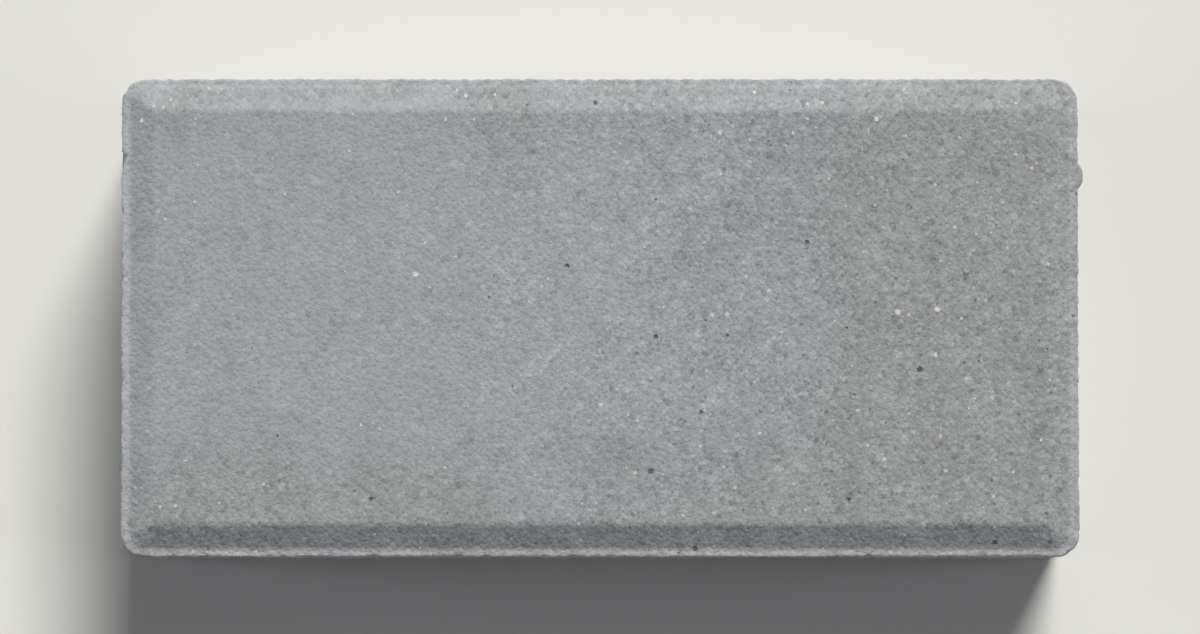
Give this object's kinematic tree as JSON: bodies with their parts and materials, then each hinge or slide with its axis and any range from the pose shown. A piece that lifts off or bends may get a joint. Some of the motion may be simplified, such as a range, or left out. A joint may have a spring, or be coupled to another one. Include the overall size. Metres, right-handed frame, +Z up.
{
  "type": "concrete paving stone",
  "caption": "Rectangular grey concrete paving stone with a chamfered wearing face, rounded upright corners and a spacer nib on each end, for paths, drives and yards.",
  "frame": {"origin": "middle of the bed face, on the surface that the stone lies on", "axes": "+X along the stone, from end to end; +Y across it; +Z up, out of the wearing face"},
  "size_m": [0.2016, 0.099, 0.06],
  "materials": {
    "concrete": "matte"
  },
  "bodies": {
    "root": {"paving_stone": "concrete"}
  },
  "joints": []
}
